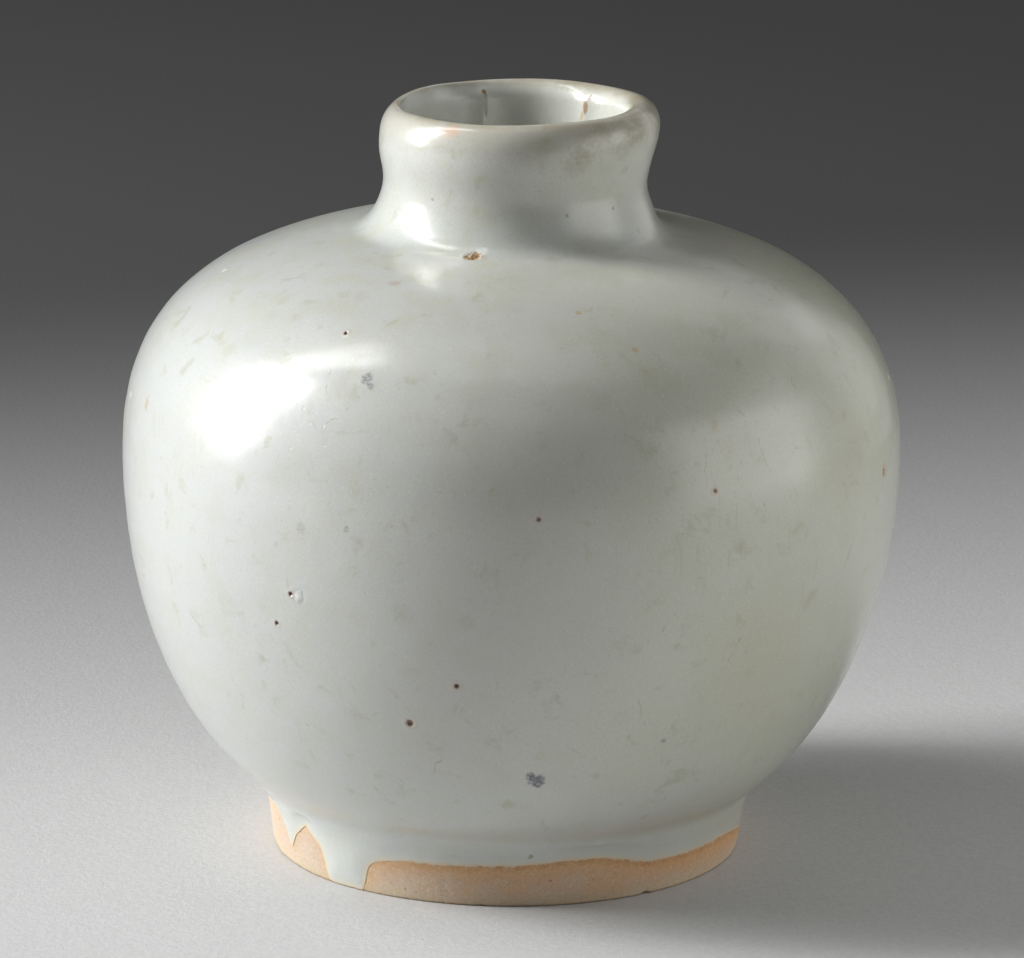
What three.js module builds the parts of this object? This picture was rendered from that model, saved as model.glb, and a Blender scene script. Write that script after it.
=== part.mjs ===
import * as THREE from 'three';

// A thrown stoneware vase, in millimetres, +Z up, standing at z = 0.
// The belly is centred on the Z axis, and the foot and the mouth lie slightly off it.
// Every section is drawn as (radius, height), and the outline is the glazed surface.

// Foot ring
const FOOT_RADIUS = 30.1; // bare clay, at the ground
const FOOT_FLARE = 1.35; // how much wider the ring is at the waist groove
const FOOT_HEIGHT = 9.4; // ground to the waist groove
const FOOT_WIDTH = 5.2; // ring's thickness at the ground
const FOOT_BORE_TAPER = 0.6; // the ring's bore narrows by this towards the base
const FOOT_BEVEL = 0.4; // worn edges of the ring
const RECESS_DEPTH = 5.5; // ground to the underside of the base

// Body
const BELLY_RADIUS = 50.0;
const FLANK_HEIGHT = 43.9; // waist groove to the widest place
const SHOULDER_HEIGHT = 27.95; // widest place to the seat of the neck
const FLANK_RISE_ANGLE = THREE.MathUtils.degToRad(25); // of the flank where it leaves the waist
const FLANK_LOWER_REACH = 0.37; // how full the flank is above the waist, as a share of its width
const FLANK_UPPER_REACH = 0.6; // how full it is below the widest place, as a share of its height
const SHOULDER_SLOPE = THREE.MathUtils.degToRad(10.7); // of the shoulder where the neck sits
const SHOULDER_LOWER_REACH = 0.6; // how full the shoulder is above the widest place
const SHOULDER_UPPER_REACH = 0.64; // how full it is towards the neck

// Walls, from glazed surface to glazed surface
const FLOOR_THICKNESS = 4.4; // waist groove to the floor inside
const FLOOR_RADIUS = 20.0; // flat part of the floor inside
const BELLY_WALL = 5.2;
const SHOULDER_WALL = 4.6;
const NECK_WALL = 3.67;

// Neck and lip
const BORE_RADIUS = 13.2; // narrowest place of the neck's bore
const BORE_OFFSET = 0.7; // the bore lies this far to the left of the lip's centre
const ROOT_SPREAD = 3.9; // how far the fillet at the neck's root runs out over the shoulder
const ROOT_HEIGHT = 6.45; // seat of the neck to its narrowest place
const LIP_FLARE_HEIGHT = 7.35; // narrowest place to the lip's widest place
const LIP_OVERHANG = 0.95; // lip's widest place beyond the neck
const LIP_ROUND = 2.3; // lip's widest place in to its crest
const LIP_CROWN = 3.05; // lip's widest place up to its crest
const MOUTH_FLARE = 0.9; // the bore is wider by this just under the lip
const MOUTH_ROUND_HEIGHT = 2.3; // crest down to where the bore starts
const BORE_CORNER_HEIGHT = 6.0; // rounding between the bore and the underside of the shoulder

// How far each rounding keeps the direction it starts with, as a share of its run
const ROOT_REACH = 0.55;
const NECK_REACH = 0.4;
const CORNER_REACH = 0.55;
const FLOOR_REACH = 0.6;

// Joints and coats
const GLAZE_THICKNESS = 0.5;
const CLEARANCE = 0.25; // between any two pieces that bear on each other
const LUTING_THICKNESS = 0.5;
const GROOVE_DEPTH = 1.6; // tongue and groove at the widest place
const LEDGE_WIDTH = 2.0; // step that the neck sits on

// Lower edge of the outer glaze
const GLAZE_LINE_HEIGHT = 5.5;
const GLAZE_SAGS = [
  { azimuth: -155, halfWidth: 11, drop: 3.6 }, // short tongue
  { azimuth: -133, halfWidth: 13, drop: 5.0 }, // run down to the foot's edge
  { azimuth: -40, halfWidth: 26, drop: 1.3 },
  { azimuth: -5, halfWidth: 22, drop: 2.3 },
  { azimuth: 72, halfWidth: 30, drop: 1.2 },
  { azimuth: 126, halfWidth: 18, drop: 2.4 },
];

// How far the pot's centre lies to the right of the Z axis
const FOOT_SHIFT = -0.4;
const SHOULDER_SHIFT = -0.3;
const MOUTH_SHIFT = 0.65;

// Facets
const TURN_STEPS = 40;
const WALL_STEPS = 6;
const FILLET_STEPS = 3;

// Sizes that follow from those above
const COAT = GLAZE_THICKNESS + CLEARANCE;
const SEAM = LUTING_THICKNESS + 2 * CLEARANCE;
const NECK_RADIUS = BORE_RADIUS + NECK_WALL;
const BELLY_HEIGHT = FOOT_HEIGHT + FLANK_HEIGHT;
const SEAT_HEIGHT = BELLY_HEIGHT + SHOULDER_HEIGHT;
const SEAM_RISE = SEAM * Math.tan(SHOULDER_SLOPE);
const CAVITY_RADIUS = BELLY_RADIUS - BELLY_WALL;
const FLOOR_HEIGHT = FOOT_HEIGHT + FLOOR_THICKNESS;

const at = (radius, height) => new THREE.Vector2(radius, height);
const toRadians = THREE.MathUtils.degToRad;

// Points of the glazed surface where its curves meet
const waist = at(FOOT_RADIUS + COAT + FOOT_FLARE, FOOT_HEIGHT);
const belly = at(BELLY_RADIUS, BELLY_HEIGHT);
const root = at(NECK_RADIUS + ROOT_SPREAD, SEAT_HEIGHT + SEAM_RISE);
const seat = at(root.x + SEAM, SEAT_HEIGHT);
const neck = at(NECK_RADIUS, SEAT_HEIGHT + ROOT_HEIGHT);
const lip = at(NECK_RADIUS + LIP_OVERHANG, neck.y + LIP_FLARE_HEIGHT);
const crest = at(lip.x - LIP_ROUND, lip.y + LIP_CROWN);

// A curve from one point to another that leaves and arrives along the given arms
function bend(start, startArm, endArm, end, steps) {
  const leave = start.clone().add(startArm);
  const arrive = end.clone().add(endArm);
  return new THREE.CubicBezierCurve(start, leave, arrive, end).getPoints(steps).slice(1);
}

// A quarter of an ellipse round a centre, from one angle in degrees to the other
function quarter(centre, radiusAcross, radiusUp, from, to) {
  const angles = [toRadians(from), toRadians(to)];
  const arc = new THREE.EllipseCurve(centre.x, centre.y, radiusAcross, radiusUp, ...angles);
  return arc.getPoints(FILLET_STEPS).slice(1);
}

// Moves a run of points to its left, into the wall, by a depth, with mitred corners
function inset(points, depth) {
  const directions = points.slice(1).map((point, i) => point.clone().sub(points[i]).normalize());
  return points.map((point, i) => {
    const arriving = directions[Math.max(i - 1, 0)];
    const leaving = directions[Math.min(i, directions.length - 1)];
    const along = arriving.clone().add(leaving).normalize();
    const reach = depth / along.dot(leaving);
    return at(point.x - along.y * reach, point.y + along.x * reach);
  });
}

// Outside of the pot, from the waist groove up to the crest of the lip
function outside() {
  const flankRun = (belly.x - waist.x) * FLANK_LOWER_REACH;
  const flankArm = at(Math.cos(FLANK_RISE_ANGLE), Math.sin(FLANK_RISE_ANGLE)).multiplyScalar(flankRun);
  const shoulderRun = (belly.x - seat.x) * SHOULDER_UPPER_REACH;
  const shoulderArm = at(Math.cos(SHOULDER_SLOPE), -Math.sin(SHOULDER_SLOPE)).multiplyScalar(shoulderRun);
  const rootArm = at(-ROOT_SPREAD, ROOT_SPREAD * Math.tan(SHOULDER_SLOPE)).multiplyScalar(ROOT_REACH);
  const flareArm = at(0, NECK_REACH * LIP_FLARE_HEIGHT);
  return [
    waist,
    ...bend(waist, flankArm, at(0, -FLANK_HEIGHT * FLANK_UPPER_REACH), belly, WALL_STEPS),
    ...bend(belly, at(0, SHOULDER_HEIGHT * SHOULDER_LOWER_REACH), shoulderArm, seat, WALL_STEPS),
    root,
    ...bend(root, rootArm, at(0, -ROOT_REACH * ROOT_HEIGHT), neck, FILLET_STEPS),
    ...bend(neck, flareArm, flareArm.clone().negate(), lip, FILLET_STEPS),
    ...quarter(at(crest.x, lip.y), LIP_ROUND, LIP_CROWN, 0, 90),
  ];
}

// Inside of the pot at one azimuth, from under the crest of the lip down to the middle of the floor
function inside(azimuth) {
  const boreRadius = BORE_RADIUS - BORE_OFFSET * Math.cos(azimuth);
  const mouth = at(boreRadius + MOUTH_FLARE, crest.y - MOUTH_ROUND_HEIGHT);
  const narrow = at(boreRadius, neck.y);
  const corner = at(boreRadius, hollowRoot.y + BORE_CORNER_HEIGHT);
  const taperArm = at(0, NECK_REACH * (mouth.y - narrow.y));
  const cornerArm = at(0, -CORNER_REACH * BORE_CORNER_HEIGHT);
  const slope = at(-Math.cos(SHOULDER_SLOPE), Math.sin(SHOULDER_SLOPE));
  const cornerEndArm = slope.clone().multiplyScalar(CORNER_REACH * (hollowRoot.x - boreRadius));
  const ceilingRun = CAVITY_RADIUS - hollowSeat.x;
  const ceilingArm = slope.clone().multiplyScalar(-SHOULDER_UPPER_REACH * ceilingRun);
  const ceilingEndArm = at(0, SHOULDER_LOWER_REACH * (hollowSeat.y - BELLY_HEIGHT));
  const flankArm = at(0, -FLANK_UPPER_REACH * (BELLY_HEIGHT - FLOOR_HEIGHT));
  const floorArm = at(FLOOR_REACH * (CAVITY_RADIUS - FLOOR_RADIUS), 0);
  const widest = at(CAVITY_RADIUS, BELLY_HEIGHT);
  return [
    ...quarter(at(crest.x, mouth.y), crest.x - mouth.x, MOUTH_ROUND_HEIGHT, 90, 180),
    ...bend(mouth, taperArm.clone().negate(), taperArm, narrow, FILLET_STEPS),
    at(boreRadius, neck.y - CLEARANCE),
    corner,
    ...bend(corner, cornerArm, cornerEndArm, hollowRoot, FILLET_STEPS),
    hollowSeat,
    ...bend(hollowSeat, ceilingArm, ceilingEndArm, widest, WALL_STEPS),
    ...bend(widest, flankArm, floorArm, at(FLOOR_RADIUS, FLOOR_HEIGHT), WALL_STEPS),
    at(0, FLOOR_HEIGHT),
  ];
}

// Where the underside of the shoulder meets the neck's seat
const hollowSeat = at(
  seat.x - LEDGE_WIDTH,
  seat.y - SHOULDER_WALL / Math.cos(SHOULDER_SLOPE) + LEDGE_WIDTH * Math.tan(SHOULDER_SLOPE),
);
const hollowRoot = at(hollowSeat.x - SEAM, hollowSeat.y + SEAM_RISE);

// Rows of the whole surface, counted from the ground up over the lip and down to the floor
const WAIST_ROW = 1;
const BELLY_ROW = WAIST_ROW + WALL_STEPS;
const SEAT_ROW = BELLY_ROW + WALL_STEPS;
const ROOT_ROW = SEAT_ROW + 1;
const CREST_ROW = ROOT_ROW + 3 * FILLET_STEPS;
const NARROW_ROW = CREST_ROW + 2 * FILLET_STEPS;
const LINER_ROW = NARROW_ROW + 1;
const HOLLOW_ROOT_ROW = LINER_ROW + 1 + FILLET_STEPS;
const HOLLOW_SEAT_ROW = HOLLOW_ROOT_ROW + 1;
const HOLLOW_BELLY_ROW = HOLLOW_SEAT_ROW + WALL_STEPS;

// The whole glazed surface at one azimuth, and the same surface some depth into the wall
function surface(azimuth) {
  return [at(FOOT_RADIUS + COAT, 0), ...outside(), ...inside(azimuth)];
}

function clay(azimuth) {
  return inset(surface(azimuth), COAT);
}

// Levels and radii of the clay where its pieces meet, the same all round
const clayOnce = clay(0);
const clayWaist = clayOnce[WAIST_ROW];
const claySeat = clayOnce[SEAT_ROW];
const clayHollowSeat = clayOnce[HOLLOW_SEAT_ROW];
const FOOT_TOP = clayWaist.y - SEAM;
const FOOT_TOP_RADIUS = FOOT_RADIUS + (clayWaist.x - FOOT_RADIUS) * FOOT_TOP / clayWaist.y;
const FOOT_BORE = FOOT_RADIUS - FOOT_WIDTH;
const FOOT_BORE_TOP = FOOT_BORE - FOOT_BORE_TAPER;
const DISC_RADIUS = FOOT_BORE_TOP - SEAM;
const LEDGE_HEIGHT = (claySeat.y + clayHollowSeat.y) / 2;

// How far the pot's centre has moved to the right at a height
function lean(height) {
  const aboveFoot = THREE.MathUtils.smoothstep(height, FOOT_HEIGHT, BELLY_HEIGHT);
  const overShoulder = THREE.MathUtils.smoothstep(height, BELLY_HEIGHT, SEAT_HEIGHT);
  const upNeck = THREE.MathUtils.smoothstep(height, SEAT_HEIGHT, crest.y);
  const below = FOOT_SHIFT * (1 - aboveFoot);
  return below + SHOULDER_SHIFT * overShoulder + (MOUTH_SHIFT - SHOULDER_SHIFT) * upNeck;
}

// Turns a section that may change round the pot. It runs anticlockwise, up along its outer side,
// and starts and ends on the axis or closes on itself.
function turned(sectionAt) {
  const rows = sectionAt(0).length;
  const geometry = new THREE.LatheGeometry(sectionAt(0), TURN_STEPS);
  const position = geometry.getAttribute('position');
  for (let step = 0; step <= TURN_STEPS; step++) {
    const azimuth = toRadians(360 / TURN_STEPS) * (step % TURN_STEPS);
    sectionAt(azimuth).forEach((point, row) => {
      const x = lean(point.y) + point.x * Math.cos(azimuth);
      position.setXYZ(step * rows + row, x, point.x * Math.sin(azimuth), point.y);
    });
  }
  geometry.computeVertexNormals();
  return geometry;
}

function closed(points) {
  return [...points, points[0]];
}

// Height of the outer glaze's lower edge, which sags in tongues and one long run
function glazeLine(azimuth) {
  const degrees = THREE.MathUtils.radToDeg(azimuth);
  return GLAZE_SAGS.reduce((height, sag) => {
    const away = Math.abs(THREE.MathUtils.euclideanModulo(degrees - sag.azimuth + 180, 360) - 180);
    const share = Math.min(away / sag.halfWidth, 1);
    return height - sag.drop * Math.cos(share * Math.PI / 2) ** 2;
  }, GLAZE_LINE_HEIGHT);
}

function footRing() {
  return closed([
    at(FOOT_BORE + FOOT_BEVEL, 0),
    at(FOOT_RADIUS - FOOT_BEVEL, 0),
    at(FOOT_RADIUS, FOOT_BEVEL),
    at(FOOT_TOP_RADIUS, FOOT_TOP),
    at(FOOT_BORE_TOP, FOOT_TOP),
    at(FOOT_BORE_TOP, RECESS_DEPTH),
    at(FOOT_BORE, FOOT_BEVEL),
  ]);
}

// Slip under the waist and round the disc that centres the ring
function footLuting() {
  const skirt = FOOT_BORE_TOP - CLEARANCE;
  const flange = FOOT_TOP + CLEARANCE;
  return closed([
    at(skirt, RECESS_DEPTH),
    at(skirt, flange),
    at(FOOT_TOP_RADIUS, flange),
    at(FOOT_TOP_RADIUS, flange + LUTING_THICKNESS),
    at(skirt - LUTING_THICKNESS, flange + LUTING_THICKNESS),
    at(skirt - LUTING_THICKNESS, RECESS_DEPTH),
  ]);
}

// A notched rim: outer edge, bottom of the groove and inner edge, at a height above the widest place
function rim(outer, inner, lift) {
  return [
    at(outer.x, BELLY_HEIGHT + lift),
    at((outer.x + inner.x) / 2, BELLY_HEIGHT + lift - GROOVE_DEPTH),
    at(inner.x, BELLY_HEIGHT + lift),
  ];
}

function lowerBody(azimuth) {
  const points = clay(azimuth);
  return [
    at(0, RECESS_DEPTH),
    at(DISC_RADIUS, RECESS_DEPTH),
    at(DISC_RADIUS, clayWaist.y),
    ...points.slice(WAIST_ROW, BELLY_ROW),
    ...rim(points[BELLY_ROW], points[HOLLOW_BELLY_ROW], -SEAM / 2),
    ...points.slice(HOLLOW_BELLY_ROW + 1),
  ];
}

function bellyLuting(azimuth) {
  const outer = clay(azimuth)[BELLY_ROW];
  const inner = clay(azimuth)[HOLLOW_BELLY_ROW];
  const bottom = rim(outer, inner, -LUTING_THICKNESS / 2);
  return closed([...bottom.reverse(), ...rim(outer, inner, LUTING_THICKNESS / 2)]);
}

function upperBody(azimuth) {
  const points = clay(azimuth);
  return closed([
    ...points.slice(BELLY_ROW + 1, SEAT_ROW + 1),
    at(claySeat.x, LEDGE_HEIGHT),
    at(clayHollowSeat.x, LEDGE_HEIGHT),
    ...points.slice(HOLLOW_SEAT_ROW, HOLLOW_BELLY_ROW),
    ...rim(points[BELLY_ROW], points[HOLLOW_BELLY_ROW], SEAM / 2).reverse(),
  ]);
}

// Slip in the stepped seat of the neck
function neckLuting(azimuth) {
  const plug = clayHollowSeat.x - CLEARANCE;
  const flange = claySeat.x - CLEARANCE;
  const ledge = LEDGE_HEIGHT + CLEARANCE;
  const foot = clay(azimuth)[HOLLOW_ROOT_ROW].y;
  return closed([
    at(plug, foot),
    at(plug, ledge),
    at(flange, ledge),
    at(flange, claySeat.y),
    at(flange - LUTING_THICKNESS, claySeat.y),
    at(flange - LUTING_THICKNESS, ledge + LUTING_THICKNESS),
    at(plug - LUTING_THICKNESS, ledge + LUTING_THICKNESS),
    at(plug - LUTING_THICKNESS, foot),
  ]);
}

// Neck with its rolled lip, and the flange and plug that seat it in the shoulder
function neckCollar(azimuth) {
  const points = clay(azimuth);
  const plug = clayHollowSeat.x - SEAM;
  const flange = claySeat.x - SEAM;
  const underFlange = LEDGE_HEIGHT + SEAM;
  return closed([
    at(plug, points[HOLLOW_ROOT_ROW].y),
    at(plug, underFlange),
    at(flange, underFlange),
    at(flange, points[ROOT_ROW].y),
    ...points.slice(ROOT_ROW + 1, NARROW_ROW + 1),
    ...points.slice(LINER_ROW + 1, HOLLOW_ROOT_ROW),
  ]);
}

// Glaze from the wavy line on the foot, up over the lip and down to the neck's narrowest place
function outerGlaze(azimuth) {
  const points = surface(azimuth).slice(0, NARROW_ROW + 1);
  const ground = points[0];
  const line = glazeLine(azimuth);
  const edge = ground.clone().lerp(waist, line / waist.y);
  const middle = edge.clone().lerp(waist, 0.5);
  const face = [edge, middle, ...points.slice(WAIST_ROW)];
  return closed([...face, ...inset(face, GLAZE_THICKNESS).reverse()]);
}

// Glaze inside, from the neck down over the floor
function innerGlaze(azimuth) {
  const face = surface(azimuth).slice(LINER_ROW);
  return [...inset(face, GLAZE_THICKNESS).reverse(), ...face];
}

const clayFinish = { color: 0xd9a883, roughness: 0.85, metalness: 0 };
const slipFinish = { color: 0xc99a78, roughness: 0.9, metalness: 0 };
const glazeFinish = { color: 0xc9d0c8, roughness: 0.12, metalness: 0 };

const pieces = [
  ['foot_ring', footRing, clayFinish],
  ['foot_luting', footLuting, slipFinish],
  ['lower_body', lowerBody, clayFinish],
  ['belly_luting', bellyLuting, slipFinish],
  ['upper_body', upperBody, clayFinish],
  ['neck_luting', neckLuting, slipFinish],
  ['neck_collar', neckCollar, clayFinish],
  ['outer_glaze', outerGlaze, glazeFinish],
  ['inner_glaze', innerGlaze, glazeFinish],
];

const vase = new THREE.Group();
for (const [name, sectionAt, finish] of pieces) {
  const piece = new THREE.Mesh(turned(sectionAt), new THREE.MeshStandardMaterial(finish));
  piece.name = name;
  vase.add(piece);
}

export default vase;
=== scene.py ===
import math

import bpy
import numpy as np
from mathutils import Matrix, Vector, kdtree, noise
from mathutils.geometry import interpolate_bezier


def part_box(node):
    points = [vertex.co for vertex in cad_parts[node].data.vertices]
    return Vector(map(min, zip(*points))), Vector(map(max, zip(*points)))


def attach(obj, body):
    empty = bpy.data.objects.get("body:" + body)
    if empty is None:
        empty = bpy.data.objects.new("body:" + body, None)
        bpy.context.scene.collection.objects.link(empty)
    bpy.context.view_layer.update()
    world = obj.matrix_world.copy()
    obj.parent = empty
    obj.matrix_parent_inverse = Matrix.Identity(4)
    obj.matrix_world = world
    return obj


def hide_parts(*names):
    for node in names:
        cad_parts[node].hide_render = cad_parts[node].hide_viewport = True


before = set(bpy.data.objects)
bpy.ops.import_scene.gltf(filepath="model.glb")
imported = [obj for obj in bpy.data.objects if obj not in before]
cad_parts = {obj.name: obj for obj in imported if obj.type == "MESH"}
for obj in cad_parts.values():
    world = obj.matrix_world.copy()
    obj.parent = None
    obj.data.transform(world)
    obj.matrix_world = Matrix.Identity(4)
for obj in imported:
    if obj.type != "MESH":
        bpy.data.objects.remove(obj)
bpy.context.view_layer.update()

# Meshes are worked in millimetres and turned to metres at the end
MM = 0.001

# Sizes read from the frame
glaze_low, glaze_high = (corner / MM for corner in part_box("outer_glaze"))
ring_low, ring_high = (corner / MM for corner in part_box("foot_ring"))
base_low, base_high = (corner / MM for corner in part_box("lower_body"))
seam_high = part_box("belly_luting")[1] / MM
liner_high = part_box("inner_glaze")[1] / MM

# Shape of the pot
GLAZE = 0.5
CLEARANCE = 0.25
LUTING = 0.5
COAT = GLAZE + CLEARANCE
SEAM = LUTING + 2 * CLEARANCE
BELLY_RADIUS = (glaze_high.x - glaze_low.x) / 2
BELLY_HEIGHT = seam_high.z - LUTING / 2
CREST_HEIGHT = glaze_high.z
LAP_HEIGHT = liner_high.z
RECESS_DEPTH = base_low.z
RIM_HEIGHT = base_high.z
FOOT_TOP = ring_high.z
FOOT_TOP_RADIUS = (ring_high.x - ring_low.x) / 2
FOOT_NUDGE = 0.25
FOOT_SHIFT = (ring_high.x + ring_low.x) / 2 + FOOT_NUDGE
FOOT_RADIUS = 30.25
FOOT_WIDTH = 5.35
FOOT_BULGE = 0.35
BULGE_AT = -148
BULGE_SPREAD = 40
BULGE_LOW, BULGE_HIGH = 5, 12
FOOT_WEAR = 0.22
FOOT_BORE_TAPER = 0.6
FOOT_BORE = FOOT_RADIUS - FOOT_WIDTH
FOOT_BORE_TOP = FOOT_BORE - FOOT_BORE_TAPER
SHOULDER_SHIFT = -0.3
MOUTH_SHIFT = 0.65
WAIST_HEIGHT = 9.4
WAIST_RADIUS = 32.2
FLANK_RISE = math.radians(25)
FLANK_LOWER_REACH = 0.37
FLANK_UPPER_REACH = 0.6
FILLET_RISE = 2.1
FILLET_LEAVES = (0.62, 1.4)
FILLET_ARRIVES = 2.2
SHOULDER_SLOPE = math.radians(10.7)
SHOULDER_LOWER_REACH = 0.6
SHOULDER_UPPER_REACH = 0.64
SEAT_HEIGHT = 81.25
SEAT_RADIUS = 21.77
ROOT_RISE = SEAM * math.tan(SHOULDER_SLOPE)
NECK_RADIUS = 16.87
NECK_HEIGHT = 87.7
ROOT_REACH = 0.55
LIP_RADIUS = 17.82
LIP_HEIGHT = 95.05
LIP_ROUND = 2.3
BORE_RADIUS = 13.2
BORE_OFFSET = -0.7
RIDGE_HEIGHT = 0.6
MOUTH_FLARE = 0.9
MOUTH_ROUND_HEIGHT = 2.3
BORE_CORNER_HEIGHT = 6.0
BELLY_WALL = 5.2
SHOULDER_WALL = 4.6
LEDGE_WIDTH = 2.0
GROOVE_DEPTH = 1.6
FLOOR_RADIUS = 20.0
FLOOR_HEIGHT = 13.8
CAVITY_RADIUS = BELLY_RADIUS - BELLY_WALL

# Lower edge of the outer glaze, as azimuth in degrees and height. It sags in a short tongue, rises
# in a bare peak, runs down to the foot's bottom edge and goes on in shallow waves.
GLAZE_LINE = [
    (-180, 6.8), (-172, 6.7), (-166.1, 6.6), (-161.6, 6.55), (-158.7, 6.2), (-156.6, 5.4),
    (-155.6, 4.8), (-154.6, 3.8), (-153.6, 2.9), (-152.9, 2.4), (-152, 2.9), (-151, 3.8),
    (-149.9, 4.6), (-147.5, 5.7), (-146, 6.3), (-144.8, 6.75), (-143.3, 6.15), (-141.9, 5.5),
    (-140.3, 4.85), (-139.1, 4.1), (-138.3, 3.1), (-138.1, 2), (-138, 0.2), (-125.6, 0.2),
    (-125.5, 1.5), (-125.3, 2.9), (-124.7, 3.5), (-123.5, 4), (-122, 4.45), (-120.4, 4.8),
    (-118.6, 5.05), (-114.7, 5.25), (-107.2, 5.35), (-96, 5.45), (-84.6, 5.8), (-76.6, 6.1),
    (-67, 6.2), (-61, 5.4), (-55, 4.65), (-44, 4.4), (-30, 4.37), (-22.6, 4.2), (-7.8, 2.9),
    (6, 3.4), (24, 4.8), (48, 5.5), (70, 4.5), (88, 5.1), (108, 5.9), (121, 3.6), (127, 3.1),
    (133, 4.6), (150, 5.8), (180, 6.8),
]
LINE_LOWEST = 0.15

# The glaze on the foot: a step at its edge, a bead along it, a thicker run and a swell to the waist
FOOT_GLAZE_TOP = 8.1
FOOT_GLAZE_THICKNESS = 0.79
THICKENING_LOW = 4.0
THICKENING_REACH = 2.6
EDGE_STEP = 0.02
EDGE_THICKNESS = 0.1
EDGE_ROUND = 1.2
BEAD = 0.04
BEAD_REACH = 2.4
RUN_AT = -131.8
RUN_SPREAD = 6.5
RUN_SWELL = 0.12
FAR_FROM_EDGE = 9.0

# Rows of the coat: on the foot above a level edge, before they follow the glaze line, behind the
# glaze there, and those in the bore that carry the knife's ridges
EDGE_ROWS = [0, 0.04, 0.09, 0.16, 0.26, 0.38, 0.52, 0.7, 0.95]
EDGE_NOMINAL = 3.0
ROWS_APART = 0.4
HIDDEN_HEIGHTS = [9.0, 7.9]
BEHIND_GLAZE = 0.03
BORE_ROWS = 20

# Columns gather where the glaze ran
COLUMNS = 360
FOOT_COLUMNS = 480
HIDDEN_COLUMNS = 240
LINER_COLUMNS = 192
GATHER_AT = math.radians(-138)
GATHER = 0.55

# Unevenness left by the hand, in layers of height, size in millimetres and seed
COAT_SWELL = [(0.16, 26, 1), (0.05, 9, 2), (0.012, 3.2, 3)]
LINER_SWELL = [(0.12, 14, 4)]
FOOT_GRAIN = [(0.045, 1.5, 5), (0.03, 0.7, 6), (0.05, 6, 7)]
UNDERSIDE_GRAIN = [(0.05, 1.8, 10), (0.03, 0.9, 11)]
LINE_WANDER = [(0.15, 1.3, 20), (0.16, 4.5, 21), (0.09, 0.6, 22)]

# Flaws of the glaze, as azimuth in degrees, height and radius
PINHOLES = [
    (-121.3, 75, 0.32), (-86.2, 56, 0.38), (-123.0, 43.9, 0.36), (-126.0, 39.6, 0.34),
    (-97.7, 34, 0.42), (-105.3, 28.3, 0.55), (-59.9, 58, 0.32), (-19.5, 53.9, 0.55),
]
DIMPLES = [
    (-121.6, 43.7, 0.6), (-173.8, 76.3, 0.6), (-170.8, 60.7, 0.6), (-162.9, 52.5, 0.45),
    (-152.6, 51.5, 0.45), (-4.9, 63.3, 0.6), (38, 44.2, 0.5), (96, 61.2, 0.5),
    (151, 35.2, 0.45), (64, 71.2, 0.4),
]
ROOT_CHIP = [(-103.2, 81.75, 0.75), (-105.0, 81.7, 0.8)]

# Chips of the foot's lower edge, as azimuth in degrees, width and depth
FOOT_CHIPS = [(-53.8, 1.0, 0.35), (-96, 0.8, 0.2), (74, 1.6, 0.5), (161, 1.2, 0.4)]
# Ridges that the knife left in the neck, as azimuth in degrees and width in radians
BORE_RIDGES = [(107, 0.22), (48, 0.2), (-160, 0.3)]


def at(radius, height):
    return Vector((radius, 0, height))


def smoothstep(value, low, high):
    share = np.clip((value - low) / (high - low), 0, 1)
    return share * share * (3 - 2 * share)


def bump(away, width):
    """A smooth hump that is 1 where away is 0."""
    return np.exp(-((away / width) ** 2))


def bend(start, start_arm, end_arm, end, steps):
    """Points after the first on a curve that leaves and arrives along the given arms."""
    return interpolate_bezier(start, start + start_arm, end + end_arm, end, steps + 1)[1:]


def quarter(centre, across, up, first, last, steps):
    angles = np.radians(np.linspace(first, last, steps + 1))[1:]
    return [centre + at(across * math.cos(a), up * math.sin(a)) for a in angles]


def inset(points, depth):
    """Moves a run of points to its left, into the wall, with mitred corners."""
    ways = [(b - a).normalized() for a, b in zip(points, points[1:])]
    moved = []
    for i, point in enumerate(points):
        leaving = ways[min(i, len(ways) - 1)]
        along = (ways[max(i - 1, 0)] + leaving).normalized()
        reach = depth / along.dot(leaving)
        moved.append(point + at(-along.z * reach, along.x * reach))
    return moved


def straight(start, end, steps):
    return [start.lerp(end, (i + 1) / steps) for i in range(steps)]


def lean(height):
    """How far the pot's centre lies to the right of the Z axis at a height."""
    below = FOOT_SHIFT * (1 - smoothstep(height, WAIST_HEIGHT, BELLY_HEIGHT))
    shoulder = SHOULDER_SHIFT * smoothstep(height, BELLY_HEIGHT, SEAT_HEIGHT)
    rise = smoothstep(height, SEAT_HEIGHT, CREST_HEIGHT)
    return below + shoulder + (MOUTH_SHIFT - SHOULDER_SHIFT) * rise


def lumps(points, size, seed):
    """Smooth noise between about -1 and 1 at each point, for lumps of a size in millimetres."""
    away = Vector((seed * 17.3, seed * 5.1, seed * 9.7))
    return np.array([noise.noise(Vector(p) / size + away) for p in points])


def uneven(points, layers):
    """Lumps of several sizes on top of each other."""
    return sum(rise * lumps(points, size, seed) for rise, size, seed in layers)


def ring_points(azimuth, radius, height, shift=0.0):
    """Points round an upright line that stands to the right of the Z axis by the shift."""
    return np.stack([radius * np.cos(azimuth) + shift, radius * np.sin(azimuth), height], 1)


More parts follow.
